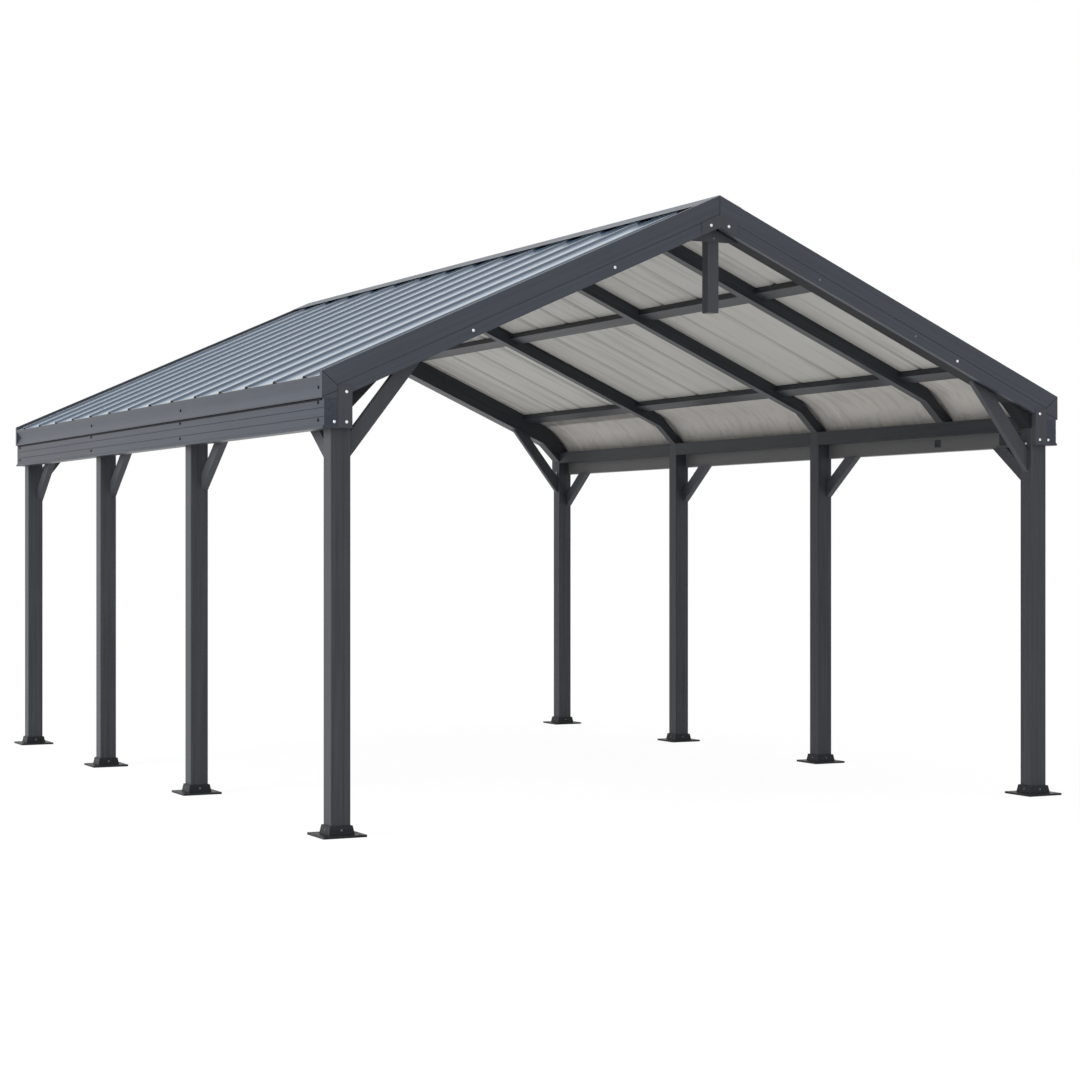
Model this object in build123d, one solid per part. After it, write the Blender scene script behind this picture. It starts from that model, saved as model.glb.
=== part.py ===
"""Open gable carport: eight posts on bolted feet, eave beams, bent rafters, purlins and a ribbed roof.

X runs across the carport, Y along it with the front gable at -Y, and Z up from the ground.
Sizes are in millimetres. The right-hand half is modelled and mirrored to the left, all but the side braces.
"""
import os
from math import atan2, cos, degrees, hypot, radians, sin, tan

from build123d import *

# Overall sizes
roof_width = 4570.0           # across the outer faces of the eave fascias
roof_length = 6200.0          # over the plates on the front and back gables
clear_height = 2030.0         # from the ground to the underside of the eave beams
roof_pitch = 24.0             # degrees
seat_gap = 0.3                # clearance where a curved piece lies in another
overrun = 20.0                # how far a cut runs past the face that it opens

# Posts: square tube, with a head cut back where the eave beam sits on its shoulder
post_side = 105.0
post_corner = 4.0             # eased corners of the tube
head_height = 175.0           # top of the post above the underside of the beam
front_bay = 2230.0            # the bay behind the front posts; the others share what is left

# Feet: a square base plate and a tapered collar round the post
foot_side = 230.0
foot_thickness = 12.0
collar_height = 55.0
collar_bottom_margin = 16.0
collar_top_margin = 8.0
anchor_radius = 7.0
anchor_inset = 26.0

# Eave beams: box sections with two shallow grooves and a drip lip along the bottom
beam_height = 150.0
beam_thickness = 68.0
beam_overhang = 48.0          # outer face of the beam beyond the outer face of the posts
lip_reach = 8.0
lip_height = 10.0
groove_width = 5.0
groove_depth = 2.5
groove_shares = (0.38, 0.68)  # places of the grooves up the beam

# Eave fascias: coved strips on top of the beams
fascia_height = 110.0
fascia_reach = 12.0           # beyond the outer face of the beam
fascia_edge = 9.0             # flat lips above and below the cove
cove_depth = 15.0

# Rafters
rafter_depth = 80.0
rafter_width = 70.0
gable_knee_drop = 75.0        # how far a gable rafter's knee runs down the post's inner face
knee_start = 285.0            # from the eave edge in to where the lining leaves the roof sheet
front_rafter_share = 0.375    # place of the rafter without a post, as a share of the front bay

# Purlins
purlin_width = 85.0
purlin_depth = 40.0
upper_purlin_share = 0.357    # places of the purlins from the ridge line to the eave
lower_purlin_share = 0.806
eave_purlin_width = 50.0
eave_purlin_depth = 85.0

# Ridge
ridge_beam_thickness = 50.0
ridge_beam_depth = 110.0
batten_width = 24.0           # strip on the ridge beam that carries the cap between the sheets
cap_wing = 150.0

# Roof sheets and eave linings
sheet_thickness = 2.0
rib_count = 14
rib_height = 12.0
rib_base = 70.0
rib_top = 24.0
ridge_opening = 18.0          # from the ridge line to the top edge of each sheet
sheet_setback = 4.0           # from the outer face of the fascia in to the sheet's eave edge
lining_rib_spacing = 430.0    # about; a whole number of ribs fits between two rafters
lining_rib_height = 9.0
lining_rib_base = 40.0

# Rakes: gable boards whose feet run down in front of the corner posts
rake_thickness = 30.0
rake_depth = 159.0
rake_stand = 22.0             # how far the rakes and the ridge cap stand above the flats of the sheets
rake_strip = 93.0             # from the top edge down to the groove
rake_leg_inset = 4.0          # inner edge of the leg from the inner face of the post
plate_thickness = 4.0

# Braces
brace_width = 76.0
brace_thickness = 40.0
gable_brace_drop = 150.0      # foot of the brace below the underside of the beam
gable_brace_angle = 38.0      # degrees from upright
side_brace_run = 345.0        # from the post to where the brace passes the underside of the beam
side_brace_drop = 255.0       # foot of the brace below that

# Gable peak and corners
king_width = 67.0
king_depth = 60.0
king_setback = 40.0           # front face of the king post behind the back of the rake
king_length = 480.0
gusset_drop = 70.0
gusset_thickness = 5.0
apex_plate_reach = 111.0
apex_plate_margin = 1.5
corner_plate_width = 76.0
corner_plate_margin = 4.0
corner_plate_rise = 62.0      # how far the plate runs up past the beam

# Places that follow from the sizes above
pitch = radians(roof_pitch)
half_width = roof_width / 2
half_length = roof_length / 2
eave_height = clear_height + beam_height + fascia_height
beam_outer_x = half_width - fascia_reach
beam_inner_x = beam_outer_x - beam_thickness
post_outer_x = beam_outer_x - beam_overhang
post_inner_x = post_outer_x - post_side
post_x = (post_outer_x + post_inner_x) / 2
post_top = clear_height + head_height
ridge_half = ridge_beam_thickness / 2
gable_face = half_length - plate_thickness
rake_back = gable_face - rake_thickness
end_row = rake_back - post_side / 2
second_row = front_bay - end_row
post_rows = (-end_row, second_row, (second_row + end_row) / 2, end_row)
free_rafter_row = front_rafter_share * front_bay - end_row
inner_rows = (free_rafter_row, post_rows[1], post_rows[2])
king_front = king_setback - rake_back
rafter_drop = rafter_depth / cos(pitch)
rake_rise = rake_stand / cos(pitch)
rake_drop = rake_depth / cos(pitch)
gable_rafter_drop = rake_drop - rake_rise
strip_drop = rake_strip / cos(pitch)


def deck(x):
    """Height of the underside of the right-hand roof sheet."""
    return eave_height + tan(pitch) * (half_width - x)


def rake_top(x):
    return deck(x) + rake_rise


def rake_low(x):
    return rake_top(x) - rake_drop


# The lining leaves the sheet tangent to it and turns down to the head of the posts.
lining_top = (half_width - knee_start, deck(half_width - knee_start))
lining_foot = (
    beam_inner_x - seat_gap,
    post_top + sheet_thickness + seat_gap,
)
knee_angle = atan2(lining_top[1] - lining_foot[1], lining_foot[0] - lining_top[0])
knee_slope = tan(knee_angle)
lining_turn = 2 * (knee_angle - pitch)
lining_chord = hypot(lining_foot[0] - lining_top[0], lining_top[1] - lining_foot[1])
lining_radius = lining_chord / (2 * sin(lining_turn / 2))
lining_centre = (
    lining_top[0] - lining_radius * sin(pitch),
    lining_top[1] - lining_radius * cos(pitch),
)


def box(x_range, y_range, z_range):
    """A block between three pairs of coordinates."""
    size = [high - low for low, high in (x_range, y_range, z_range)]
    middle = [(low + high) / 2 for low, high in (x_range, y_range, z_range)]
    return Pos(*middle) * Box(*size)


def prism_along_y(outline, y_range):
    """Extrude an outline of X and Z between two places along Y."""
    face = outline if isinstance(outline, Sketch) else make_face(Polyline(*outline, close=True))
    plane = Plane(origin=(0, y_range[1], 0), x_dir=(1, 0, 0), z_dir=(0, -1, 0))
    return extrude(plane * face, amount=y_range[1] - y_range[0])


def prism_along_x(outline, x_range):
    """Extrude an outline of Y and Z between two places along X."""
    face = make_face(Polyline(*outline, close=True))
    plane = Plane(origin=(x_range[0], 0, 0), x_dir=(0, 1, 0), z_dir=(1, 0, 0))
    return extrude(plane * face, amount=x_range[1] - x_range[0])


def around(row, width):
    return (row - width / 2, row + width / 2)


def left_of(pieces):
    return [mirror(piece, about=Plane.YZ) for piece in pieces]


def back_of(pieces):
    return [mirror(piece, about=Plane.XZ) for piece in pieces]


def post(row):
    """A post that stands on its foot plate, notched at the head for the beam."""
    outline = chamfer(Rectangle(post_side, post_side).vertices(), post_corner)
    tube = Pos(post_x, row, foot_thickness) * extrude(outline, amount=post_top - foot_thickness)
    notch = box(
        (beam_inner_x, post_outer_x + overrun),
        around(row, post_side + overrun),
        (clear_height, post_top + overrun),
    )
    return tube - notch


def foot(row):
    """A base plate with four anchor holes and a collar that the post drops into."""
    plate = extrude(Rectangle(foot_side, foot_side), amount=foot_thickness)
    hole_spacing = foot_side - 2 * anchor_inset
    for hole in GridLocations(hole_spacing, hole_spacing, 2, 2):
        plate -= hole * Cylinder(anchor_radius, foot_thickness + overrun)
    wide = post_side + 2 * collar_bottom_margin
    narrow = post_side + 2 * collar_top_margin
    collar = loft([
        Pos(0, 0, foot_thickness) * Rectangle(wide, wide),
        Pos(0, 0, collar_height) * Rectangle(narrow, narrow),
    ])
    socket = Pos(0, 0, foot_thickness) * extrude(Rectangle(post_side, post_side), amount=collar_height)
    return Pos(post_x, row, 0) * (plate + (collar - socket))


def eave_beam():
    """A box beam with a drip lip and two grooves along its outer face."""
    outline = [
        (beam_inner_x, clear_height),
        (beam_outer_x + lip_reach, clear_height),
        (beam_outer_x + lip_reach, clear_height + lip_height),
        (beam_outer_x, clear_height + lip_height + lip_reach),
    ]
    for share in groove_shares:
        middle = clear_height + share * beam_height
        outline += [
            (beam_outer_x, middle - groove_width / 2),
            (beam_outer_x - groove_depth, middle),
            (beam_outer_x, middle + groove_width / 2),
        ]
    outline += [
        (beam_outer_x, clear_height + beam_height),
        (beam_inner_x, clear_height + beam_height),
    ]
    return prism_along_y(outline, (-gable_face, gable_face))


def eave_fascia():
    """A strip with a coved outer face and a top cut to the slope of the roof."""
    low = clear_height + beam_height
    cove_low = low + fascia_edge
    cove_high = eave_height - fascia_edge
    edges = Polyline(
        (half_width, cove_low),
        (half_width, low),
        (beam_inner_x, low),
        (beam_inner_x, deck(beam_inner_x)),
        (half_width, eave_height),
        (half_width, cove_high),
    )
    cove = ThreePointArc(
        (half_width, cove_high),
        (half_width - cove_depth, (cove_low + cove_high) / 2),
        (half_width, cove_low),
    )
    return prism_along_y(make_face(edges + cove), (-rake_back, rake_back))


def rafter(y_range, drop=rafter_drop, knee_drop=0):
    """A rafter under the sheet, bent at a knee to land on the head of a post.

    drop is its upright depth, and knee_drop how far its knee runs down the post's inner face.
    """
    inner_radius = lining_radius - sheet_thickness - 2 * seat_gap
    start = (
        lining_centre[0] + inner_radius * sin(pitch),
        lining_centre[1] + inner_radius * cos(pitch),
    )
    bend_run = knee_slope - tan(pitch)
    top_bend = (start[1] + knee_slope * start[0] - deck(0)) / bend_run
    knee_low = post_top - knee_drop
    low_bend = (knee_low + knee_slope * post_inner_x - deck(0) + drop) / bend_run
    outline = [
        (ridge_half, deck(ridge_half)),
        (top_bend, deck(top_bend)),
        (start[0] + (start[1] - post_top) / knee_slope, post_top),
        (post_inner_x, post_top),
        (low_bend, deck(low_bend) - drop),
        (ridge_half, deck(ridge_half) - drop),
    ]
    if knee_drop:
        outline.insert(outline.index((post_inner_x, post_top)) + 1, (post_inner_x, knee_low))
    return prism_along_y(outline, y_range)


def spans_between(rows, widths):
    """The clear lengths between neighbouring members that stand in rows along Y."""
    spans = []
    for index in range(len(rows) - 1):
        spans.append((rows[index] + widths[index] / 2, rows[index + 1] - widths[index + 1] / 2))
    return spans


def rafter_spans():
    rows = (-end_row,) + inner_rows + (end_row,)
    widths = (post_side,) + (rafter_width,) * len(inner_rows) + (post_side,)
    return spans_between(rows, widths)


def roof_purlin(x):
    """Lengths of purlin that fit between the rafters, flush with their tops."""
    reach = purlin_width / 2 * cos(pitch)
    sink = (purlin_depth * sin(pitch), purlin_depth * cos(pitch))
    outline = [
        (x - reach, deck(x - reach)),
        (x + reach, deck(x + reach)),
        (x + reach - sink[0], deck(x + reach) - sink[1]),
        (x - reach - sink[0], deck(x - reach) - sink[1]),
    ]
    return [prism_along_y(outline, span) for span in rafter_spans()]


def eave_purlin():
    """Lengths of purlin between the heads of the posts, flush with their inner faces."""
    x_range = (post_inner_x, post_inner_x + eave_purlin_width)
    z_range = (post_top - eave_purlin_depth, post_top)
    spans = spans_between(post_rows, (post_side,) * len(post_rows))
    return [box(x_range, span, z_range) for span in spans]


def ribbed_face(level, ribs):
    """The section of a ribbed sheet: along the carport, and up from its flats.

    Each rib has a place along the carport, a height, a base width and a top width, which is
    zero for a pointed rib.
    """
    line = [(-rake_back, level)]
    for place, height, base, top in ribs:
        crown = [(place - top / 2, level + height), (place + top / 2, level + height)]
        line.append((place - base / 2, level))
        line += crown if top else crown[:1]
        line.append((place + base / 2, level))
    line.append((rake_back, level))
    upper = [(place, height + sheet_thickness) for place, height in reversed(line)]
    return make_face(Polyline(*line, *upper, close=True))


def roof_sheet():
    """The sheet of the right-hand slope, with its ribs run from the ridge to the eave."""
    spacing = 2 * rake_back / rib_count
    places = [(index + 1 / 2) * spacing - rake_back for index in range(rib_count)]
    ribs = [(place, rib_height, rib_base, rib_top) for place in places]
    down_slope = (cos(pitch), 0, -sin(pitch))
    plane = Plane(origin=(ridge_opening, 0, deck(ridge_opening)), x_dir=(0, 1, 0), z_dir=down_slope)
    run = (half_width - sheet_setback - ridge_opening) / cos(pitch)
    return extrude(plane * ribbed_face(0, ribs), amount=run)


def eave_lining():
    """The curved lining that turns from the roof sheet down to the eave, ribbed between the rafters."""
    ribs = []
    for low, high in rafter_spans():
        count = max(1, round((high - low) / lining_rib_spacing))
        spacing = (high - low) / count
        for index in range(count):
            ribs.append((low + (index + 1 / 2) * spacing, -lining_rib_height, lining_rib_base, 0))
    section = ribbed_face(lining_radius - seat_gap - sheet_thickness, ribs)
    centre = (lining_centre[0], 0, lining_centre[1])
    plane = Plane(origin=centre, x_dir=(0, 1, 0), z_dir=(cos(pitch), 0, -sin(pitch)))
    return revolve(plane * section, axis=Axis(centre, (0, 1, 0)), revolution_arc=degrees(lining_turn))


def ridge_beam():
    """A beam under the ridge, with a pointed batten between the sheets."""
    top = deck(ridge_half)
    batten_half = batten_width / 2
    half_outline = [
        (ridge_half, top - ridge_beam_depth),
        (ridge_half, top),
        (batten_half, top),
        (batten_half, rake_top(batten_half)),
    ]
    outline = half_outline + [(0, rake_top(0))] + [(-x, z) for x, z in reversed(half_outline)]
    return prism_along_y(outline, (-rake_back, rake_back))


def ridge_cap():
    """A folded cap that rests on the batten of the ridge beam and on the rakes."""
    reach = cap_wing * cos(pitch)
    rise = sheet_thickness / cos(pitch)
    outline = [
        (-reach, rake_top(reach)),
        (0, rake_top(0)),
        (reach, rake_top(reach)),
        (reach, rake_top(reach) + rise),
        (0, rake_top(0) + rise),
        (-reach, rake_top(reach) + rise),
    ]
    return prism_along_y(outline, (-gable_face, gable_face))


def rake():
    """The front right gable board, grooved along its length, with its foot before the post."""
    leg_x = post_inner_x + rake_leg_inset
    beam_top = clear_height + beam_height
    board = prism_along_y(
        [
            (0, rake_top(0)),
            (half_width, rake_top(half_width)),
            (half_width, beam_top),
            (beam_inner_x, beam_top),
            (beam_inner_x, clear_height),
            (leg_x, clear_height),
            (leg_x, rake_low(leg_x)),
            (0, rake_low(0)),
        ],
        (-gable_face, -rake_back),
    )
    groove_drop = groove_width / cos(pitch)
    groove = prism_along_y(
        [
            (-overrun, rake_top(-overrun) - strip_drop),
            (beam_inner_x, rake_top(beam_inner_x) - strip_drop),
            (beam_inner_x, rake_top(beam_inner_x) - strip_drop - groove_drop),
            (-overrun, rake_top(-overrun) - strip_drop - groove_drop),
        ],
        (-gable_face - overrun, -gable_face + groove_depth),
    )
    return board - groove


def gable_brace():
    """A brace from the front right post up to the underside of the gable rafter."""
    foot_height = clear_height - gable_brace_drop
    climb = 1 / tan(radians(gable_brace_angle))
    width_up = brace_width / sin(radians(gable_brace_angle))

    def meets_rafter(height):
        x = (height + climb * post_inner_x - deck(0) + gable_rafter_drop) / (climb - tan(pitch))
        return (x, deck(x) - gable_rafter_drop)

    outline = [
        (post_inner_x, foot_height),
        (post_inner_x, foot_height + width_up),
        meets_rafter(foot_height + width_up),
        meets_rafter(foot_height),
    ]
    return prism_along_y(outline, around(-end_row, brace_thickness))


def side_brace(face, direction, x_low, top):
    """A brace from a post's face up to what lies over it, running along Y in the direction given."""
    foot_height = clear_height - side_brace_drop
    climb = side_brace_drop / side_brace_run
    width_up = brace_width * hypot(side_brace_run, side_brace_drop) / side_brace_run
    outline = [
        (0, foot_height),
        ((top - foot_height) / climb, top),
        ((top - foot_height - width_up) / climb, top),
        (0, foot_height + width_up),
    ]
    placed = [(face + direction * run, height) for run, height in outline]
    return prism_along_x(placed, (x_low, x_low + brace_thickness))


def side_braces(x_low, top):
    """A brace forward from each post but the first, and one back from the first."""
    pieces = [side_brace(post_rows[0] + post_side / 2, 1, x_low, top)]
    for row in post_rows[1:]:
        pieces.append(side_brace(row - post_side / 2, -1, x_low, top))
    return pieces


def king_post():
    """A short post that hangs at the front peak, with a tongue up to the ridge beam."""
    top = deck(ridge_half) - ridge_beam_depth
    shoulder = deck(king_width / 2) - gable_rafter_drop
    half_outline = [
        (king_width / 2, top - king_length),
        (king_width / 2, shoulder),
        (ridge_half, deck(ridge_half) - gable_rafter_drop),
        (ridge_half, top),
    ]
    outline = half_outline + [(-x, z) for x, z in reversed(half_outline)]
    return prism_along_y(outline, (king_front, king_front + king_depth))


def king_gusset():
    """A shallow gusset before the king post, in the angle under the two front rafters."""
    reach = gusset_drop / tan(pitch)
    outline = [
        (0, rake_low(0)),
        (reach, rake_low(reach)),
        (-reach, rake_low(reach)),
    ]
    return prism_along_y(outline, (king_front - gusset_thickness, king_front))


def apex_plate():
    """A chevron plate below the grooves, over the joint of the two front rakes."""
    top_drop = strip_drop + apex_plate_margin
    outline = [
        (0, rake_top(0) - top_drop),
        (apex_plate_reach, rake_top(apex_plate_reach) - top_drop),
        (apex_plate_reach, rake_low(apex_plate_reach) + apex_plate_margin),
        (0, rake_low(0) + apex_plate_margin),
        (-apex_plate_reach, rake_low(apex_plate_reach) + apex_plate_margin),
        (-apex_plate_reach, rake_top(apex_plate_reach) - top_drop),
    ]
    return prism_along_y(outline, (-half_length, -gable_face))


def corner_plate():
    """A plate on the foot of the front right rake, over the joint with the post."""
    x_low = post_inner_x + rake_leg_inset
    return box(
        (x_low, x_low + corner_plate_width),
        (-half_length, -gable_face),
        (clear_height + corner_plate_margin, clear_height + beam_height + corner_plate_rise),
    )


def carport():
    """All the pieces by name. A name may hold several like pieces that don't touch."""
    nodes = {}

    def both_sides(name, pieces):
        nodes["right_" + name] = pieces
        nodes["left_" + name] = left_of(pieces)

    def both_ends(name, pieces):
        nodes["front_" + name] = pieces
        nodes["back_" + name] = back_of(pieces)

    for number, row in enumerate(post_rows, start=1):
        both_sides(f"post_{number}", [post(row)])
    both_sides("post_feet", [foot(row) for row in post_rows])
    both_sides("eave_beam", [eave_beam()])
    both_sides("eave_fascia", [eave_fascia()])
    both_sides("inner_rafters", [rafter(around(row, rafter_width)) for row in inner_rows])
    both_sides("upper_purlin", roof_purlin(upper_purlin_share * half_width))
    both_sides("lower_purlin", roof_purlin(lower_purlin_share * half_width))
    both_sides("eave_purlin", eave_purlin())
    both_sides("roof_sheet", [roof_sheet()])
    both_sides("eave_lining", [eave_lining()])
    # In both rows the braces sit on the right-hand half of the posts: in the right row under
    # the beam, and in the left row under the eave purlin.
    nodes["right_side_braces"] = side_braces(post_outer_x - brace_thickness, clear_height)
    purlin_low = post_top - eave_purlin_depth
    nodes["left_side_braces"] = side_braces(-post_inner_x - brace_thickness, purlin_low)
    gable_rafter = rafter(around(-end_row, post_side), gable_rafter_drop, gable_knee_drop)
    both_ends("right_gable_rafter", [gable_rafter])
    both_ends("left_gable_rafter", left_of([gable_rafter]))
    both_ends("right_rake", [rake()])
    both_ends("left_rake", left_of([rake()]))
    both_ends("gable_braces", [gable_brace()] + left_of([gable_brace()]))
    both_ends("corner_plates", [corner_plate()] + left_of([corner_plate()]))
    nodes["ridge_beam"] = [ridge_beam()]
    nodes["ridge_cap"] = [ridge_cap()]
    nodes["king_posts"] = [king_post()] + back_of([king_post()])
    nodes["king_gussets"] = [king_gusset()] + back_of([king_gusset()])
    nodes["apex_plates"] = [apex_plate()] + back_of([apex_plate()])
    return nodes


os.makedirs("parts", exist_ok=True)
for name, pieces in carport().items():
    solids = [solid for piece in pieces for solid in piece.solids()]
    shape = solids[0] if len(solids) == 1 else Compound(children=solids)
    export_step(shape, f"parts/{name}.step")
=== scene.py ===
# %% [markdown]
# # An open carport, dressed for its portrait
#
# The carport's frame, roof and feet arrive as fixed solids. This lesson gives each of them
# a finish, adds the small hardware that holds the real one together, and sets up a pale
# studio with a camera. Everything is in metres: X runs across the carport, Y along it from
# the front gable to the back one, and Z up from the ground.

import math

import bmesh
import bpy
from mathutils import Matrix, Vector


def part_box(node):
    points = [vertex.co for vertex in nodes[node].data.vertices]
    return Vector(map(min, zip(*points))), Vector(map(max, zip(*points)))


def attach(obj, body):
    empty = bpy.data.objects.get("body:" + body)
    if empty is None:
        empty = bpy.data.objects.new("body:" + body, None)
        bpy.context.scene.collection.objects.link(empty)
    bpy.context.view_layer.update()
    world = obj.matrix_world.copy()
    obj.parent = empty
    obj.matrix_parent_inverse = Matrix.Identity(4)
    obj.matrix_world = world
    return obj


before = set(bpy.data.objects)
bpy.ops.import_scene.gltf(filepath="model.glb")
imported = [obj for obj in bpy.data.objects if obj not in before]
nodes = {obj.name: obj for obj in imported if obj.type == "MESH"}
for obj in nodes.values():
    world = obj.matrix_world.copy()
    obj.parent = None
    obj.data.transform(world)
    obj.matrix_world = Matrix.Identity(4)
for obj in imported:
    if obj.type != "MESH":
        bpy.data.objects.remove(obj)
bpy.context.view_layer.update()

# %% [markdown]
# ## Measuring the frame
#
# Screws and seams sit on solids that already exist, so their places are read from the boxes
# of those solids. Only what a box can't tell, such as the slope of the roof, is written here.

# %% Measure the frame
ROOF_PITCH = math.radians(24)
SIDES = {"left": -1, "right": 1}
ENDS = {"front": -1, "back": 1}
POST_ROWS = (1, 2, 3, 4)

post_low, post_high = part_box("right_post_1")
beam_low, beam_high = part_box("right_eave_beam")
fascia_low, fascia_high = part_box("right_eave_fascia")
rake_low, rake_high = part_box("front_right_rake")

post_side = post_high.x - post_low.x
post_x = (post_low.x + post_high.x) / 2
row_y = {}
for row in POST_ROWS:
    low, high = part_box(f"right_post_{row}")
    row_y[row] = (low.y + high.y) / 2
gable_face = -rake_low.y


def rake_top(x):
    """Height of the gable boards' top edge at x from the ridge line."""
    return rake_high.z - abs(x) * math.tan(ROOF_PITCH)


print("post rows:", {row: round(y, 3) for row, y in row_y.items()}, "gable face:", round(gable_face, 3))

# %% [markdown]
# ## Materials from nodes
#
# A material is a small graph: a pattern is read at each point of the surface, stretched to a
# useful range and sent to a socket of the shader. The same few steps come back in every
# material, so each is a short function. All patterns are read at Object coordinates, so they
# stay on the piece wherever the camera goes.
#
# A pattern that is both turned and stretched needs care. A mapping node stretches before it
# turns, so there are two in a row: the first turns the place, and the second stretches it.


# %% Helpers for node materials
def new_material(name):
    """A node material, with its tree and its main shader."""
    material = bpy.data.materials.new(name)
    material.use_nodes = True
    tree = material.node_tree
    return material, tree, tree.nodes["Principled BSDF"]


def add_node(tree, kind, **inputs):
    """A node with the sockets given, by name: a value sets a socket and a socket is linked to it."""
    node = tree.nodes.new(kind)
    for name, value in inputs.items():
        socket = node.inputs[name.replace("_", " ")]
        if isinstance(value, bpy.types.NodeSocket):
            tree.links.new(value, socket)
        else:
            socket.default_value = value
    return node


def object_place(tree, scale=(1, 1, 1), turn=(0, 0, 0)):
    """Object coordinates, turned and then stretched for a pattern."""
    place = tree.nodes.new("ShaderNodeTexCoord").outputs["Object"]
    turned_place = add_node(tree, "ShaderNodeMapping", Vector=place, Rotation=turn).outputs["Vector"]
    return add_node(tree, "ShaderNodeMapping", Vector=turned_place, Scale=scale).outputs["Vector"]


def noise(tree, place, scale, detail=3.0, roughness=0.5):
    """A noise with about this many blotches to the metre."""
    node = add_node(tree, "ShaderNodeTexNoise", Vector=place, Scale=scale, Detail=detail, Roughness=roughness)
    return node.outputs["Fac"]


def between(tree, value, low, high, to_low, to_high):
    """Stretches a value from one range to another, and clips it there."""
    node = add_node(tree, "ShaderNodeMapRange", Value=value)
    for name, number in (("From Min", low), ("From Max", high), ("To Min", to_low), ("To Max", to_high)):
        node.inputs[name].default_value = number
    return node.outputs["Result"]


def combine(tree, operation, first, second):
    """Two values put through a Math operation, such as MULTIPLY."""
    node = tree.nodes.new("ShaderNodeMath")
    node.operation = operation
    for socket, value in zip(node.inputs, (first, second)):
        tree.links.new(value, socket)
    return node.outputs[0]


def blend_colours(tree, share, first, second):
    """A colour between two, each a colour or a socket."""
    node = tree.nodes.new("ShaderNodeMix")
    node.data_type = "RGBA"
    tree.links.new(share, node.inputs["Factor"])
    for socket, colour in ((node.inputs[6], first), (node.inputs[7], second)):
        if isinstance(colour, bpy.types.NodeSocket):
            tree.links.new(colour, socket)
        else:
            socket.default_value = (*colour, 1)
    return node.outputs[2]


def bump(tree, height, distance, strength, normal=None):
    """A normal that follows a height, on top of another normal if one is given."""
    node = add_node(tree, "ShaderNodeBump", Height=height, Distance=distance, Strength=strength)
    if normal:
        tree.links.new(normal, node.inputs["Normal"])
    return node.outputs["Normal"]


# %% [markdown]
# ## Powder coat
#
# The frame is metal tube with a satin charcoal powder coat. Seen close, such a coat has a fine
# orange-peel bump, and the drawn tube under it leaves faint streaks along each bar. A noise
# stretched along the bar gives the streaks, a broad one clouds the tone, and a very fine one
# gives the peel.
#
# One function builds every coat. It is told which way the bar runs, how that is turned on a slope, and the two
# tones that the streaks lie between. The eave beams look paler on the inside, so a coat can take a paler tone,
# which is painted light, where a face looks in towards the middle. That is where the X of the face's normal and
# the X of its place have opposite signs.

# %% How a powder coat is built
SATIN = 0.36                         # roughness of the coat
COAT_GLOSS = 0.15
STREAKS_PER_METRE = 60.0
STREAK_STRETCH = 0.02
STREAK_DEPTH = 0.0004
CLOUDS_PER_METRE = 2.5
CLOUD_SHARE = 0.35
PEEL_PER_METRE = 700.0
PEEL_DEPTH = 0.0002


def inward_light_share(tree):
    """1 where a face of the left or right row looks in towards the middle of the carport, and else 0: where the
    painted light goes.
    """
    across = []
    for output in ("Normal", "Object"):
        vector = tree.nodes.new("ShaderNodeTexCoord").outputs[output]
        across.append(add_node(tree, "ShaderNodeSeparateXYZ", Vector=vector).outputs["X"])
    return between(tree, combine(tree, "MULTIPLY", *across), -1, -2, 0, 1)


def powder_coat(name, along, tones, turn=(0, 0, 0), roughness=SATIN, gloss=COAT_GLOSS, inward_painted_light=None):
    """Charcoal coat with streaks along one axis of the bar, X, Y or Z, between a dark and a light tone, and with
    a paler tone painted on inward faces as painted light if one is given.
    """
    dark, light = tones
    material, tree, shader = new_material(name)
    scale = [1.0, 1.0, 1.0]
    scale["XYZ".index(along)] = STREAK_STRETCH
    streaks = noise(tree, object_place(tree, scale, turn), STREAKS_PER_METRE, detail=4.0, roughness=0.6)
    clouds = noise(tree, object_place(tree), CLOUDS_PER_METRE, detail=2.0)
    peel = noise(tree, object_place(tree), PEEL_PER_METRE, detail=1.0)
    drawn = blend_colours(tree, between(tree, streaks, 0.3, 0.7, 0, 1), dark, light)
    tone = blend_colours(tree, between(tree, clouds, 0.35, 0.7, 0, CLOUD_SHARE), drawn, light)
    # painted light: faces that look in towards the middle take a paler tone
    if inward_painted_light:
        tone = blend_colours(tree, inward_light_share(tree), tone, inward_painted_light)
    tree.links.new(tone, shader.inputs["Base Color"])
    rough = between(tree, streaks, 0.25, 0.75, roughness - 0.05, roughness + 0.08)
    tree.links.new(rough, shader.inputs["Roughness"])
    shader.inputs["Specular IOR Level"].default_value = gloss
    fine = bump(tree, peel, PEEL_DEPTH, 0.25)
    tree.links.new(bump(tree, streaks, STREAK_DEPTH, 0.3, fine), shader.inputs["Normal"])
    return material


# %% [markdown]
# ## A coat for each kind of member
#
# The frame has one charcoal coat all over, but each kind of member has its own pair of tones. The rakes and
# braces are a little paler than the posts, which is painted light, and the purlins and rafters darker, which is
# painted shade. The front rafters lie in the shade of the rakes, and their still darker tones are painted shade.
# A glossy coat would mirror the white floor there and look grey, so theirs is nearly without gloss.

# %% Make the powder coats
BEAM_TONES = ((0.029, 0.035, 0.047), (0.052, 0.061, 0.079))
# painted light on the inner faces of the eave beams
BEAM_INSIDE_PAINTED_LIGHT = (0.125, 0.127, 0.130)
FASCIA_TONES = ((0.034, 0.041, 0.054), (0.061, 0.071, 0.091))
# rakes: a little paler than the posts, painted light
RAKE_TONES = ((0.050, 0.057, 0.070), (0.064, 0.072, 0.088))
# braces: a little paler than the posts, painted light
BRACE_TONES = ((0.052, 0.054, 0.063), (0.062, 0.065, 0.076))
POST_TONES = ((0.036, 0.038, 0.045), (0.060, 0.063, 0.073))
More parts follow.
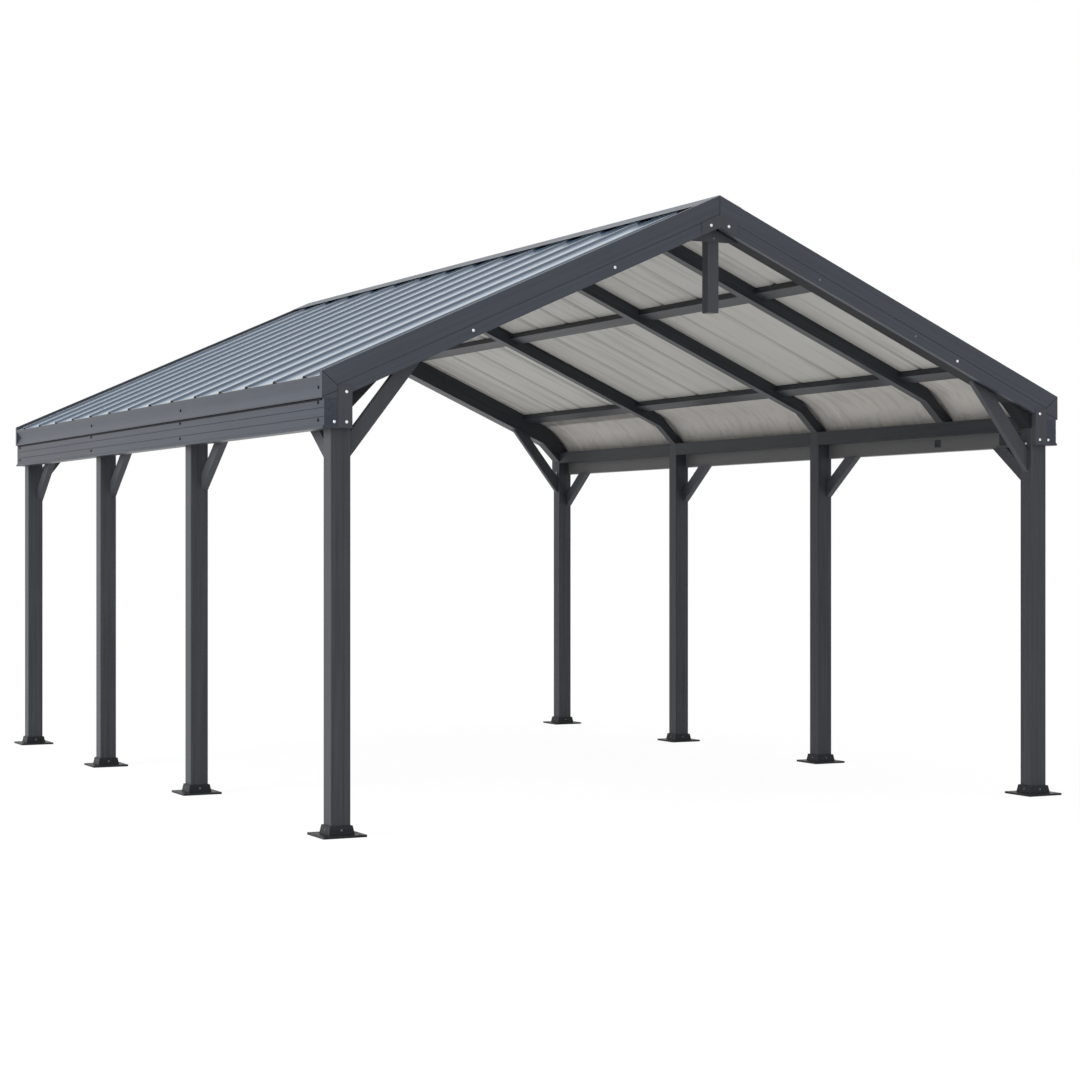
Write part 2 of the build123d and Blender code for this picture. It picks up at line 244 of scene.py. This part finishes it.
# purlins, rafters and the plates on the beams: darker, painted shade under the roof
UNDER_ROOF_PAINTED_SHADE_TONES = ((0.026, 0.028, 0.033), (0.042, 0.045, 0.052))
# front gable rafters: darker still, painted shade of the rakes
FRONT_RAFTER_PAINTED_SHADE_TONES = ((0.017, 0.018, 0.020), (0.026, 0.027, 0.030))
SHADED_GLOSS = 0.02
FOOT_TONES = ((0.012, 0.013, 0.016), (0.024, 0.026, 0.030))
FOOT_ROUGHNESS = 0.42

coat_upright = powder_coat("charcoal_upright", "Z", POST_TONES)
coat_lengthwise = powder_coat("charcoal_lengthwise", "Y", FASCIA_TONES)
coat_beams = powder_coat("charcoal_beams", "Y", BEAM_TONES, inward_painted_light=BEAM_INSIDE_PAINTED_LIGHT)
coat_purlins = powder_coat("charcoal_purlins", "Y", UNDER_ROOF_PAINTED_SHADE_TONES)
coat_braces = powder_coat("charcoal_braces", "Z", BRACE_TONES)
coat_feet = powder_coat("charcoal_feet", "X", FOOT_TONES, roughness=FOOT_ROUGHNESS)

slope_turn = {side: (0, -sign * ROOF_PITCH, 0) for side, sign in SIDES.items()}
coat_rake = {}
coat_gable = {}
coat_slope = {}
for side, turn in slope_turn.items():
    coat_rake[side] = powder_coat(f"charcoal_{side}_rake", "X", RAKE_TONES, turn)
    coat_gable[side] = powder_coat(f"charcoal_{side}_gable", "X", FRONT_RAFTER_PAINTED_SHADE_TONES, turn, gloss=SHADED_GLOSS)
    coat_slope[side] = powder_coat(f"charcoal_{side}_slope", "X", UNDER_ROOF_PAINTED_SHADE_TONES, turn)
print("powder coats:", [m.name for m in bpy.data.materials if m.name.startswith("charcoal")])

# %% [markdown]
# ## Ribbed roof sheet
#
# The sheets are coil-coated steel: a glossy blue-grey above and a matt warm grey below. One
# material does both. It looks at which way a face points in the object's own space, so the
# split follows the sheet and not the camera. Thin sheet is never quite flat between its
# screws, so a broad, shallow bump makes the reflections wander along it.
#
# The camera looks along the left slope at only a few degrees. There the gloss makes the flats bright, the sides
# of the ribs keep the coat's own dark colour, and a blue sheen tints both: a painted reflection of a blue sky.
# Below, grime runs down the slope in streaks, and the hollow of each rib is darkened towards the same colour as
# painted shade. A wave texture whose waves are as long as the ribs are apart finds those hollows.

# %% How a sheet's coat is built
GLOSSY = 0.13                        # roughness of the coat on top of the sheets
MATT = 0.55                          # and of the coat below them
PAINTED_SKY_SHEEN = 0.40                         # a painted reflection of a blue sky, which the top coat shows at a low angle
PAINTED_SKY_TINT = (0.55, 0.77, 1.0, 1)
SHEEN_ROUGHNESS = 0.3
UPWARD = (-0.05, 0.05)               # a normal's Z where the coat below gives way to the one above
# the colour of the grime in the streaks below, and of the painted shade in the hollows of the ribs
GRIME_AND_SHADE = (0.27, 0.26, 0.24)
GRIME_SHARE = 0.55                   # of the grime's colour in a streak, at most
WANDER_DEPTH = 0.0006
RIB_COUNT = 14                       # ribs in the sheet of each slope
WAVE_PERIOD = math.tau / 20          # length of one wave in a wave texture of scale 1
HOLLOW = (0.965, 0.99)               # how high the wave is at the edge of a hollow and in its middle

sheet_low, sheet_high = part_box("right_roof_sheet")
rib_spacing = (sheet_high.y - sheet_low.y) / RIB_COUNT


def slope_noise(tree, turn, stretch, per_metre, detail=3.0, roughness=0.5):
    """A noise drawn out down the slope of the roof."""
    return noise(tree, object_place(tree, (stretch, 1.0, 1.0), turn), per_metre, detail, roughness)


def hollow_share(tree):
    """1 in the hollow of each rib, and 0 on the flats."""
    waves = add_node(tree, "ShaderNodeTexWave", Vector=object_place(tree), Scale=WAVE_PERIOD / rib_spacing)
    waves.bands_direction = "Y"
    return between(tree, waves.outputs["Fac"], *HOLLOW, 0, 1)


def sheet_coat(name, turn, top, under, top_roughness=GLOSSY, sky_sheen=PAINTED_SKY_SHEEN, rib_shade=None):
    """Coil-coated sheet, with a dark and a light tone above and two more below.

    A rib shade is the least and the most share of the grime's colour painted as shade in the hollow of a rib.
    """
    material, tree, shader = new_material(name)
    normal = tree.nodes.new("ShaderNodeTexCoord").outputs["Normal"]
    upward = add_node(tree, "ShaderNodeSeparateXYZ", Vector=normal).outputs["Z"]
    streaks = slope_noise(tree, turn, stretch=0.08, per_metre=14.0, detail=5.0, roughness=0.62)
    stains = slope_noise(tree, turn, stretch=0.3, per_metre=2.0)
    wander = slope_noise(tree, turn, stretch=0.25, per_metre=5.0, detail=2.0)
    top_tone = blend_colours(tree, between(tree, streaks, 0.32, 0.68, 0, 1), *top)
    under_tone = blend_colours(tree, between(tree, stains, 0.3, 0.7, 0, 1), *under)
    under_tone = blend_colours(tree, between(tree, streaks, 0.50, 0.72, 0, GRIME_SHARE), under_tone, GRIME_AND_SHADE)
    # painted shade: the hollows of the ribs underneath are darkened towards the same colour
    if rib_shade:
        shade = combine(tree, "MULTIPLY", hollow_share(tree), between(tree, stains, 0.3, 0.7, *rib_shade))
        under_tone = blend_colours(tree, shade, under_tone, GRIME_AND_SHADE)
    tone = blend_colours(tree, between(tree, upward, *UPWARD, 0, 1), under_tone, top_tone)
    tree.links.new(tone, shader.inputs["Base Color"])
    tree.links.new(between(tree, upward, *UPWARD, MATT, top_roughness), shader.inputs["Roughness"])
    # painted reflection: a blue sheen on the top coat stands in for a blue sky
    tree.links.new(between(tree, upward, *UPWARD, 0, sky_sheen), shader.inputs["Sheen Weight"])
    shader.inputs["Sheen Tint"].default_value = PAINTED_SKY_TINT
    shader.inputs["Sheen Roughness"].default_value = SHEEN_ROUGHNESS
    tree.links.new(bump(tree, wander, WANDER_DEPTH, 0.3), shader.inputs["Normal"])
    return material


# %% [markdown]
# ## Sheets, linings and ridge cap
#
# The linings under the eaves are the same metal in a slightly warmer grey. Their ribs are pressed the other way,
# so they get no painted shade in hollows. The cap along the ridge is matt and paler, and its grain runs along
# the carport.

# %% Make the sheet coats
TOP_TONES = ((0.024, 0.041, 0.072), (0.036, 0.057, 0.094))
UNDER_TONES = ((0.465, 0.460, 0.430), (0.515, 0.510, 0.480))
LINING_TONES = ((0.525, 0.505, 0.475), (0.575, 0.555, 0.520))
CAP_TONES = ((0.10, 0.115, 0.14), (0.135, 0.15, 0.18))
# painted shade in the hollows of the ribs under the roof, as the least and the most share
RIB_SHADE = (0.2, 0.85)
LENGTHWISE_TURN = (0, 0, math.pi / 2)

coat_sheet = {}
coat_lining = {}
for side, turn in slope_turn.items():
    coat_sheet[side] = sheet_coat(f"sheet_{side}", turn, TOP_TONES, UNDER_TONES, rib_shade=RIB_SHADE)
    coat_lining[side] = sheet_coat(f"lining_{side}", turn, TOP_TONES, LINING_TONES)
coat_cap = sheet_coat("ridge_cap_coat", LENGTHWISE_TURN, CAP_TONES, UNDER_TONES, top_roughness=MATT, sky_sheen=0)
print("sheet coats:", [m.name for m in (*coat_sheet.values(), *coat_lining.values(), coat_cap)])

# %% [markdown]
# ## Bare and blackened fixings
#
# Most screws on the gables are bright zinc, a few are dull, and those on the eave beams are
# blackened. A plated surface is a little cloudy, so a noise moves its colour and its roughness.

# %% Fixing metals
PLATING_CLOUDS_PER_METRE = 220.0
PLATING_DEPTH = 0.0002


def fixing_metal(name, dark, light, metallic, roughness, gloss=0.5):
    """Plated or blackened steel with a cloudy surface."""
    material, tree, shader = new_material(name)
    clouds = noise(tree, object_place(tree), PLATING_CLOUDS_PER_METRE)
    tree.links.new(blend_colours(tree, clouds, dark, light), shader.inputs["Base Color"])
    shader.inputs["Metallic"].default_value = metallic
    shader.inputs["Specular IOR Level"].default_value = gloss
    rough = between(tree, clouds, 0.3, 0.7, roughness - 0.08, roughness + 0.08)
    tree.links.new(rough, shader.inputs["Roughness"])
    tree.links.new(bump(tree, clouds, PLATING_DEPTH, 0.3), shader.inputs["Normal"])
    return material


zinc = fixing_metal("bright_zinc", (0.72, 0.73, 0.75), (0.88, 0.89, 0.90), 1.0, 0.32)
dull_zinc = fixing_metal("dull_zinc", (0.10, 0.105, 0.115), (0.17, 0.175, 0.185), 0.0, 0.5)
blackened = fixing_metal("blackened_steel", (0.006, 0.006, 0.008), (0.014, 0.014, 0.017), 0.0, 0.6, 0.1)
print("fixing metals:", [metal.name for metal in (zinc, dull_zinc, blackened)])

# %% [markdown]
# ## Dressing the solids
#
# Each solid takes the coat whose streaks run along it. A table goes from words in the solids'
# names to coats. The first word that fits decides, so a special case, such as the feet of the
# posts, stands before the general one.

# %% Give every solid its finish
FINISHES = [("ridge_cap", coat_cap), ("feet", coat_feet)]
FINISHES += [(word, coat_braces) for word in ("brace", "corner", "apex", "king")]
FINISHES += [("post", coat_upright), ("purlin", coat_purlins), ("beam", coat_beams), ("fascia", coat_lengthwise)]
for side in SIDES:
    FINISHES += [
        (side + "_roof_sheet", coat_sheet[side]),
        (side + "_eave_lining", coat_lining[side]),
        (side + "_rake", coat_rake[side]),
        ("front_" + side + "_gable_rafter", coat_gable[side]),
        (side, coat_slope[side]),
    ]


def finish_for(name):
    """The material of a solid, from its name."""
    return next(finish for word, finish in FINISHES if word in name)


for name, node in nodes.items():
    node.data.materials.clear()
    node.data.materials.append(finish_for(name))
print("finished solids:", len(nodes))

# %% [markdown]
# ## Round-headed screws
#
# Nearly every joint shows round screw heads with a flange. A head is a solid of revolution:
# half of its section is drawn as a line of vertices, and a spin round the axis makes the rest.
# The spin leaves many vertices on the axis, which are merged before the normals are set.
#
# A head is made once. Its copies, one for each place, are gathered in one mesh, so that a
# whole set of screws is a single piece.

# %% Helpers for small hardware
HEAD_PROFILE = (                     # shares of the radius and of the height, from the rim in
    (1, 0), (1, 0.25), (0.78, 0.35), (0.66, 0.8), (0.45, 1), (0.25, 1), (0.18, 0.7), (0, 0.7),
)
HEAD_STEPS = 16


def turned(profile, steps):
    """A bmesh turned round Z from points of radius and height."""
    bm = bmesh.new()
    line = [bm.verts.new((radius, 0, height)) for radius, height in profile]
    edges = [bm.edges.new(pair) for pair in zip(line, line[1:])]
    bmesh.ops.spin(
        bm, geom=line + edges, axis=(0, 0, 1), cent=(0, 0, 0), angle=math.tau, steps=steps, use_merge=True
    )
    bmesh.ops.remove_doubles(bm, verts=bm.verts, dist=1e-6)
    bmesh.ops.recalc_face_normals(bm, faces=bm.faces)
    for face in bm.faces:
        face.smooth = True
    return bm


def round_head(radius, height):
    """A flanged pan head with a shallow drive recess."""
    return turned([(radius * out, height * up) for out, up in HEAD_PROFILE], HEAD_STEPS)


def facing(place, direction):
    """Puts a shape's base at a place, with its axis in a direction."""
    return Matrix.Translation(place) @ Vector(direction).to_track_quat("Z", "Y").to_matrix().to_4x4()


def set_out(name, shape, places, finish):
    """Copies a small shape to each place, as one piece that rides on the carport."""
    pattern = bpy.data.meshes.new(name + "_pattern")
    shape.to_mesh(pattern)
    shape.free()
    bm = bmesh.new()
    for place in places:
        first = len(bm.verts)
        bm.from_mesh(pattern)
        bm.verts.ensure_lookup_table()
        bmesh.ops.transform(bm, matrix=place, verts=bm.verts[first:])
    mesh = bpy.data.meshes.new(name)
    bm.to_mesh(mesh)
    bm.free()
    bpy.data.meshes.remove(pattern)
    mesh.materials.append(finish)
    piece = bpy.data.objects.new(name, mesh)
    bpy.context.scene.collection.objects.link(piece)
    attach(piece, "root")
    print(name, "-", len(places), "places,", len(mesh.polygons), "faces")
    return piece


# %% [markdown]
# ## Gable screws
#
# Two screws hold each corner plate, one the end of each eave beam, a few each rake, two the
# apex plate and one the gusset of the king post. Most are bright, but the one on the gusset and
# the upper two of the right-hand rake are dull and a little smaller. All are found from the
# boxes of those solids and repeated at both gables.

# %% Gable screws
plate_low, plate_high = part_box("front_corner_plates")
_, apex_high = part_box("apex_plates")
gusset_low, gusset_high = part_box("king_gussets")

BRIGHT_HEAD = (0.0085, 0.0045)            # radius and height
DULL_HEAD = (0.007, 0.004)
PLATE_SCREW_X = plate_high.x - 0.046
PLATE_SCREW_HEIGHTS = (0.032, 0.182)      # above the underside of the beam
BEAM_END_SCREW_X = plate_high.x + 0.018
BRIGHT_RAKE_SCREWS = {"left": (0.64, 1.46), "right": (1.57,)}  # from the ridge line
DULL_RAKE_SCREWS = {"left": (), "right": (0.64, 1.28)}
RAKE_SCREW_DROP = 0.136
APEX_SCREW_X = 0.055
APEX_SCREW_DROP = 0.140
GUSSET_SCREW_RISE = 0.022

bright_places = []
dull_places = []
for end in ENDS.values():
    outward = (0, end, 0)
    for name, side in SIDES.items():
        for height in PLATE_SCREW_HEIGHTS:
            plate_screw = (side * PLATE_SCREW_X, end * -plate_low.y, beam_low.z + height)
            bright_places.append(facing(plate_screw, outward))
        beam_end = (side * BEAM_END_SCREW_X, end * gable_face, beam_low.z + PLATE_SCREW_HEIGHTS[0])
        bright_places.append(facing(beam_end, outward))
        for places, screws in ((bright_places, BRIGHT_RAKE_SCREWS), (dull_places, DULL_RAKE_SCREWS)):
            for x in screws[name]:
                places.append(facing((side * x, end * gable_face, rake_top(x) - RAKE_SCREW_DROP), outward))
        apex_screw = (side * APEX_SCREW_X, end * apex_high.y, rake_top(APEX_SCREW_X) - APEX_SCREW_DROP)
        bright_places.append(facing(apex_screw, outward))
    dull_places.append(facing((0, end * gusset_high.y, gusset_low.z + GUSSET_SCREW_RISE), outward))
set_out("gable_screws", round_head(*BRIGHT_HEAD), bright_places, zinc)
set_out("dull_gable_screws", round_head(*DULL_HEAD), dull_places, dull_zinc)

# %% [markdown]
# ## Beam and brace screws
#
# Each post has a pair of blackened screws through the eave beam outside it and one through the
# fascia above. A bright one on the inner face of each corner post holds the gable brace.

# %% Beam and brace screws
BEAM_HEAD = (0.0095, 0.005)
BEAM_LIP = 0.008                     # the drip lip stands this far outside the beam's face
BEAM_SCREW_HEIGHTS = (0.042, 0.130)  # above the underside of the beam
COVE_DEPTH = 0.015
FASCIA_SCREW_RISE = 0.055            # half-way up the cove above the beam
BRACE_SCREW_RISE = 0.012

beam_face = beam_high.x - BEAM_LIP
beam_places = []
brace_places = []
for side in SIDES.values():
    outward = (side, 0, 0)
    inward = (-side, 0, 0)
    for row in POST_ROWS:
        for height in BEAM_SCREW_HEIGHTS:
            beam_places.append(facing((side * beam_face, row_y[row], beam_low.z + height), outward))
        cove = (side * (fascia_high.x - COVE_DEPTH), row_y[row], beam_high.z + FASCIA_SCREW_RISE)
        beam_places.append(facing(cove, outward))
    for row in (POST_ROWS[0], POST_ROWS[-1]):
        brace_places.append(facing((side * post_low.x, row_y[row], beam_low.z + BRACE_SCREW_RISE), inward))
set_out("beam_screws", round_head(*BEAM_HEAD), beam_places, blackened)
set_out("brace_screws", round_head(*BRIGHT_HEAD), brace_places, zinc)

# %% [markdown]
# ## Collar screws
#
# Each foot has a collar round the post, with a dull screw on every side. The collar narrows
# upwards, so a head that lies flat on it looks a little up.

# %% Collar screws
COLLAR_HEAD = (0.006, 0.0035)
COLLAR_HEIGHT = 0.0335               # half-way up the collar
COLLAR_REACH = post_side / 2 + 0.012
COLLAR_SLOPE = 0.186                 # how far the collar leans in for each unit that it rises

collar_places = []
for side in SIDES.values():
    for row in POST_ROWS:
        for x, y in ((1, 0), (-1, 0), (0, 1), (0, -1)):
            place = (side * post_x + x * COLLAR_REACH, row_y[row] + y * COLLAR_REACH, COLLAR_HEIGHT)
            collar_places.append(facing(place, (x, y, COLLAR_SLOPE)))
set_out("collar_screws", round_head(*COLLAR_HEAD), collar_places, dull_zinc)

# %% [markdown]
# ## Lining tops
#
# The curved eave lining starts a little below the lower purlin. On the real carport the roof's
# underside flows into it without a step, so a thin strip of the same metal covers the joint from
# the purlin down. It is a zigzag line, extruded once down the slope: flat at the purlin, and
# with the lining's shallow ribs at its lower edge. Each bay between two rafters has its own.

# %% Lining tops
LINING_STRIP_START = 1.880           # across from the ridge line: the lower edge of the purlin
LINING_STRIP_STOP = 2.004            # just past the top of the lining
FLAT_BELOW_DECK = (0.0008, 0.0030)   # at the start and at the stop
STRIP_THICKNESS = 0.0004
LINING_RIB_SPACING = 0.43            # about; a whole number of ribs fits in each bay
LINING_RIB_HALF = 0.020
LINING_RIB_DEPTH = 0.0095
RAFTER_HALF = 0.035
FREE_RAFTER_SHARE = 0.375            # place of the rafter without a post, as a share of the front bay
RAKE_STAND = 0.022                   # of the rakes above the underside of the roof, square to the slope
DECK_BELOW_RAKES = RAKE_STAND / math.cos(ROOF_PITCH)

free_y = row_y[1] + FREE_RAFTER_SHARE * (row_y[2] - row_y[1])
rafters = [(row_y[1], post_side / 2), (free_y, RAFTER_HALF), (row_y[2], RAFTER_HALF), (row_y[3], RAFTER_HALF)]
rafters.append((row_y[4], post_side / 2))


def lining_strip(bm, side, low, high):
    """Adds one bay's strip to a bmesh."""
    count = max(1, round((high - low) / LINING_RIB_SPACING))
    spacing = (high - low) / count
    line = [(low, 0)]
    for rib in range(count):
        middle = low + (rib + 0.5) * spacing
        line += [(middle - LINING_RIB_HALF, 0), (middle, LINING_RIB_DEPTH), (middle + LINING_RIB_HALF, 0)]
    line.append((high, 0))
    deck_start = rake_top(LINING_STRIP_START) - DECK_BELOW_RAKES
    deck_stop = rake_top(LINING_STRIP_STOP) - DECK_BELOW_RAKES
    verts = [bm.verts.new((side * LINING_STRIP_START, y, deck_start - FLAT_BELOW_DECK[0])) for y, _ in line]
    edges = [bm.edges.new(pair) for pair in zip(verts, verts[1:])]
    made = bmesh.ops.extrude_edge_only(bm, edges=edges)["geom"]
    for vert in (item for item in made if isinstance(item, bmesh.types.BMVert)):
        _, depth = min(line, key=lambda point: abs(point[0] - vert.co.y))
        vert.co = (side * LINING_STRIP_STOP, vert.co.y, deck_stop - FLAT_BELOW_DECK[1] - depth)


for name, side in SIDES.items():
    strips = bmesh.new()
    for (near, near_half), (far, far_half) in zip(rafters, rafters[1:]):
        lining_strip(strips, side, near + near_half, far - far_half)
    bmesh.ops.solidify(strips, geom=strips.faces[:], thickness=STRIP_THICKNESS)
    bmesh.ops.recalc_face_normals(strips, faces=strips.faces)
    set_out(name + "_lining_tops", strips, [Matrix()], coat_lining[name])

# %% [markdown]
# ## Plates on the beams
#
# Inside each eave beam a short joining plate shows by the front post, and a small plate with a
# slot for a tie further back. Both are pressed from sheet, with eased edges. The slot is the
# front face, inset once for its outline and once more for its depth.

# %% Plates on the beams
SLOT_DEPTH_SHARE = 0.8               # of the plate's thickness
SLOT_WALL_LEAN = 0.0005
EASED_SHARE = 0.15                   # of the thickness that the bevel takes off an edge
SHARP_EDGE = 1                       # angle between two faces, in radians, from which an edge is eased


def pressed_plate(length, height, thickness, slot=None):
    """A plate in the YZ plane that stands on X = 0, with a slot pressed into its middle if one is given."""
    bm = bmesh.new()
    bmesh.ops.create_cube(bm, size=1, matrix=Matrix.Diagonal((thickness, length, height, 1)))
    front = max(bm.faces, key=lambda face: face.calc_center_median().x)
    if slot:
        bmesh.ops.inset_region(bm, faces=[front], thickness=(height - slot) / 2, depth=0)
        bmesh.ops.inset_region(bm, faces=[front], thickness=SLOT_WALL_LEAN, depth=-thickness * SLOT_DEPTH_SHARE)
    rim = [edge for edge in bm.edges if edge.is_manifold and edge.calc_face_angle() > SHARP_EDGE]
    bmesh.ops.bevel(
        bm, geom=rim, offset=thickness * EASED_SHARE, affect="EDGES", segments=1, profile=0.5, material=-1,
        clamp_overlap=True
    )
    bmesh.ops.translate(bm, verts=bm.verts, vec=(thickness / 2, 0, 0))
    return bm


PLATE_THICKNESS = 0.004
PLATE_RISE = 0.05                    # middle of a plate above the underside of the beam
JOIN_LENGTH = 0.20
JOIN_HEIGHT = 0.07
JOIN_BACK = 0.10                     # from the back of the front post to the joining plate
SLOT_PLATE_LENGTH = 0.055
SLOT_PLATE_HEIGHT = 0.045
SLOT_HEIGHT = 0.014
SLOT_PLATE_BACK = 0.97               # behind the middle of the front posts

join_y = row_y[1] + post_side / 2 + JOIN_BACK + JOIN_LENGTH / 2
slot_y = row_y[1] + SLOT_PLATE_BACK
join_places = []
slot_places = []
for side in SIDES.values():
    inward = Matrix.Rotation(math.pi if side > 0 else 0, 4, "Z")
    for places, y in ((join_places, join_y), (slot_places, slot_y)):
        places.append(Matrix.Translation((side * beam_low.x, y, beam_low.z + PLATE_RISE)) @ inward)
join_plate = pressed_plate(JOIN_LENGTH, JOIN_HEIGHT, PLATE_THICKNESS)
slot_plate = pressed_plate(SLOT_PLATE_LENGTH, SLOT_PLATE_HEIGHT, PLATE_THICKNESS, slot=SLOT_HEIGHT)
set_out("beam_joint_plates", join_plate, join_places, coat_purlins)
set_out("tie_slot_plates", slot_plate, slot_places, coat_purlins)

# %% [markdown]
# ## Eave shadow strips
#
# Under the lower lip of each fascia a dark strip stands for the shadow that the lip casts on the beam: a painted
# shadow, which shows as a line along the whole eave. It is a long bar with rounded long edges, half sunk in the
# beam.

# %% Eave shadow strips
SHADOW_STRIP_HEIGHT = 0.011
SHADOW_STRIP_PROUD = 0.004
SHADOW_STRIP_ROUND_SHARE = 0.7

shadow_strip = bmesh.new()
shadow_strip_length = 2 * fascia_high.y
bmesh.ops.create_cube(shadow_strip, size=1, matrix=Matrix.Diagonal((2 * SHADOW_STRIP_PROUD, shadow_strip_length, SHADOW_STRIP_HEIGHT, 1)))
long_edges = [edge for edge in shadow_strip.edges if abs(edge.verts[0].co.y - edge.verts[1].co.y) > SHADOW_STRIP_HEIGHT]
shadow_strip_round = SHADOW_STRIP_PROUD * SHADOW_STRIP_ROUND_SHARE
bmesh.ops.bevel(
    shadow_strip, geom=long_edges, offset=shadow_strip_round, affect="EDGES", segments=3, profile=0.5, material=-1
)
shadow_strip_z = beam_high.z - SHADOW_STRIP_HEIGHT / 2
shadow_strip_places = [Matrix.Translation((side * beam_face, 0, shadow_strip_z)) for side in SIDES.values()]
# painted shadow: a blackened bar where the fascia lip shades the beam
set_out("eave_shadow_strips", shadow_strip, shadow_strip_places, blackened)

# %% [markdown]
# ## Corner seams
#
# At each gable corner the end of the rake meets the foot before the post in a mitre, which
# shows as a thin dark line from the top corner down to the corner plate. A second line marks
# the fold below it, and a third the joint of the two rakes at the peak. Each is a flat bar that
# lies a hair in front of the board: a unit cube, stretched and turned between two points.

# %% Corner seams
SEAM_WIDTH = 0.0025
SEAM_PROUD = 0.0004
MITRE_INSET = 0.004                  # of the top of a mitre from the edges of the board
FOLD_INSET = 0.002
FOLD_RISES = (0.004, 0.038)          # above the foot of the fascia, at the outer edge and at the plate


def seam_between(start, stop, end):
    """The place of a unit bar, stretched from one point of a gable's face to another."""
    start = Vector((start[0], end * gable_face, start[1]))
    stop = Vector((stop[0], end * gable_face, stop[1]))
    run = stop - start
    turn = Matrix.Rotation(-math.atan2(run.z, run.x), 4, "Y")
    stretch = Matrix.Diagonal((run.length, 2 * SEAM_PROUD, SEAM_WIDTH, 1))
    return Matrix.Translation((start + stop) / 2) @ turn @ stretch


seam_places = []
for end in ENDS.values():
    for side in SIDES.values():
        top_corner = (side * (rake_high.x - MITRE_INSET), rake_top(rake_high.x) - MITRE_INSET)
        plate_corner = (side * plate_high.x, plate_high.z)
        seam_places.append(seam_between(top_corner, plate_corner, end))
        fold_outer = (side * (rake_high.x - FOLD_INSET), fascia_low.z + FOLD_RISES[0])
        fold_inner = (side * plate_high.x, fascia_low.z + FOLD_RISES[1])
        seam_places.append(seam_between(fold_outer, fold_inner, end))
    seam_places.append(seam_between((0, rake_top(0) - MITRE_INSET), (0, apex_high.z), end))
bar = bmesh.new()
bmesh.ops.create_cube(bar, size=1)
set_out("corner_seams", bar, seam_places, blackened)

# %% [markdown]
# ## Floor and sky
#
# The carport stands on a plain white floor under a white sky. What the camera, gloss and glass
# see of them is white, and what lights the carport is softer. The floor mixes a glow with a
# plain pale surface, so that it still shows the carport's shadow.

# %% Floor and sky
SKY_LIGHT = 0.85
FLOOR_SIZE = 60.0                    # from the middle to each edge
FLOOR_COLOUR = (0.92, 0.92, 0.92, 1)
FLOOR_ROUGHNESS = 0.9
FLOOR_GLOW = 1.05
FLOOR_GLOW_SHARE = 0.86
WHITE = (1, 1, 1, 1)


def seen_directly(tree):
    """1 for what the camera, a gloss or a glass sees, and 0 for what lights a surface."""
    path = tree.nodes.new("ShaderNodeLightPath").outputs
    camera_or_gloss = combine(tree, "MAXIMUM", path["Is Camera Ray"], path["Is Glossy Ray"])
    return combine(tree, "MAXIMUM", camera_or_gloss, path["Is Transmission Ray"])


world = bpy.data.worlds.new("pale_sky")
world.use_nodes = True
bpy.context.scene.world = world
sky = world.node_tree.nodes["Background"]
sky.inputs["Color"].default_value = WHITE
strength = between(world.node_tree, seen_directly(world.node_tree), 0, 1, SKY_LIGHT, 1.0)
world.node_tree.links.new(strength, sky.inputs["Strength"])

floor_material, tree, shader = new_material("pale_floor")
shader.inputs["Base Color"].default_value = FLOOR_COLOUR
shader.inputs["Roughness"].default_value = FLOOR_ROUGHNESS
glow = add_node(tree, "ShaderNodeEmission", Color=WHITE, Strength=FLOOR_GLOW)
share = between(tree, seen_directly(tree), 0, 1, 0, FLOOR_GLOW_SHARE)
mix = tree.nodes.new("ShaderNodeMixShader")
for socket, source in zip(mix.inputs, (share, shader.outputs[0], glow.outputs[0])):
    tree.links.new(source, socket)
tree.links.new(mix.outputs[0], tree.nodes["Material Output"].inputs["Surface"])

floor_bm = bmesh.new()
bmesh.ops.create_grid(floor_bm, x_segments=2, y_segments=2, size=FLOOR_SIZE)
floor_mesh = bpy.data.meshes.new("floor")
floor_bm.to_mesh(floor_mesh)
floor_bm.free()
floor_mesh.materials.append(floor_material)
floor = bpy.data.objects.new("floor", floor_mesh)
bpy.context.scene.collection.objects.link(floor)
print("floor:", FLOOR_SIZE * 2, "m across")

# %% [markdown]
# ## Key light
#
# One large, soft lamp stands high on the left, so that the left faces of the posts are paler
# than the front ones, as in the photograph. The sky does the rest.

# %% Key light
KEY_PLACE = Vector((-13, -3, 8))
KEY_AIM = Vector((0, 0, 1.6))        # the middle of the carport
KEY_SIZE = 6
KEY_POWER = 900

key_light = bpy.data.lights.new("key_from_left", "AREA")
key_light.size = KEY_SIZE
key_light.energy = KEY_POWER
key = bpy.data.objects.new("key_from_left", key_light)
key.location = KEY_PLACE
key.rotation_euler = (KEY_AIM - KEY_PLACE).to_track_quat("-Z", "Y").to_euler()
bpy.context.scene.collection.objects.link(key)

# %% [markdown]
# ## Camera
#
# The photograph was taken from a little left of the front gable, at about eye height, with
# a long lens. The camera looks level, so uprights stay upright, and a small shift sets the
# carport at the right height in the picture.

# %% Camera
CAMERA_PLACE = (-6.424, -13.793, 1.446)
CAMERA_HEADING = math.radians(-26.54)
LENS = 77.11                         # millimetres, as is the sensor's width
SENSOR_WIDTH = 36.0
SHIFT_UP = 0.0056

camera_data = bpy.data.cameras.new("portrait")
camera_data.sensor_width = SENSOR_WIDTH
camera_data.lens = LENS
camera_data.shift_y = SHIFT_UP
camera = bpy.data.objects.new("portrait", camera_data)
camera.location = CAMERA_PLACE
camera.rotation_euler = (math.radians(90), 0, CAMERA_HEADING)
bpy.context.scene.collection.objects.link(camera)
bpy.context.scene.camera = camera
bpy.context.scene.view_settings.view_transform = "Standard"
print("camera:", [round(v, 2) for v in camera.location], "lens:", camera_data.lens)
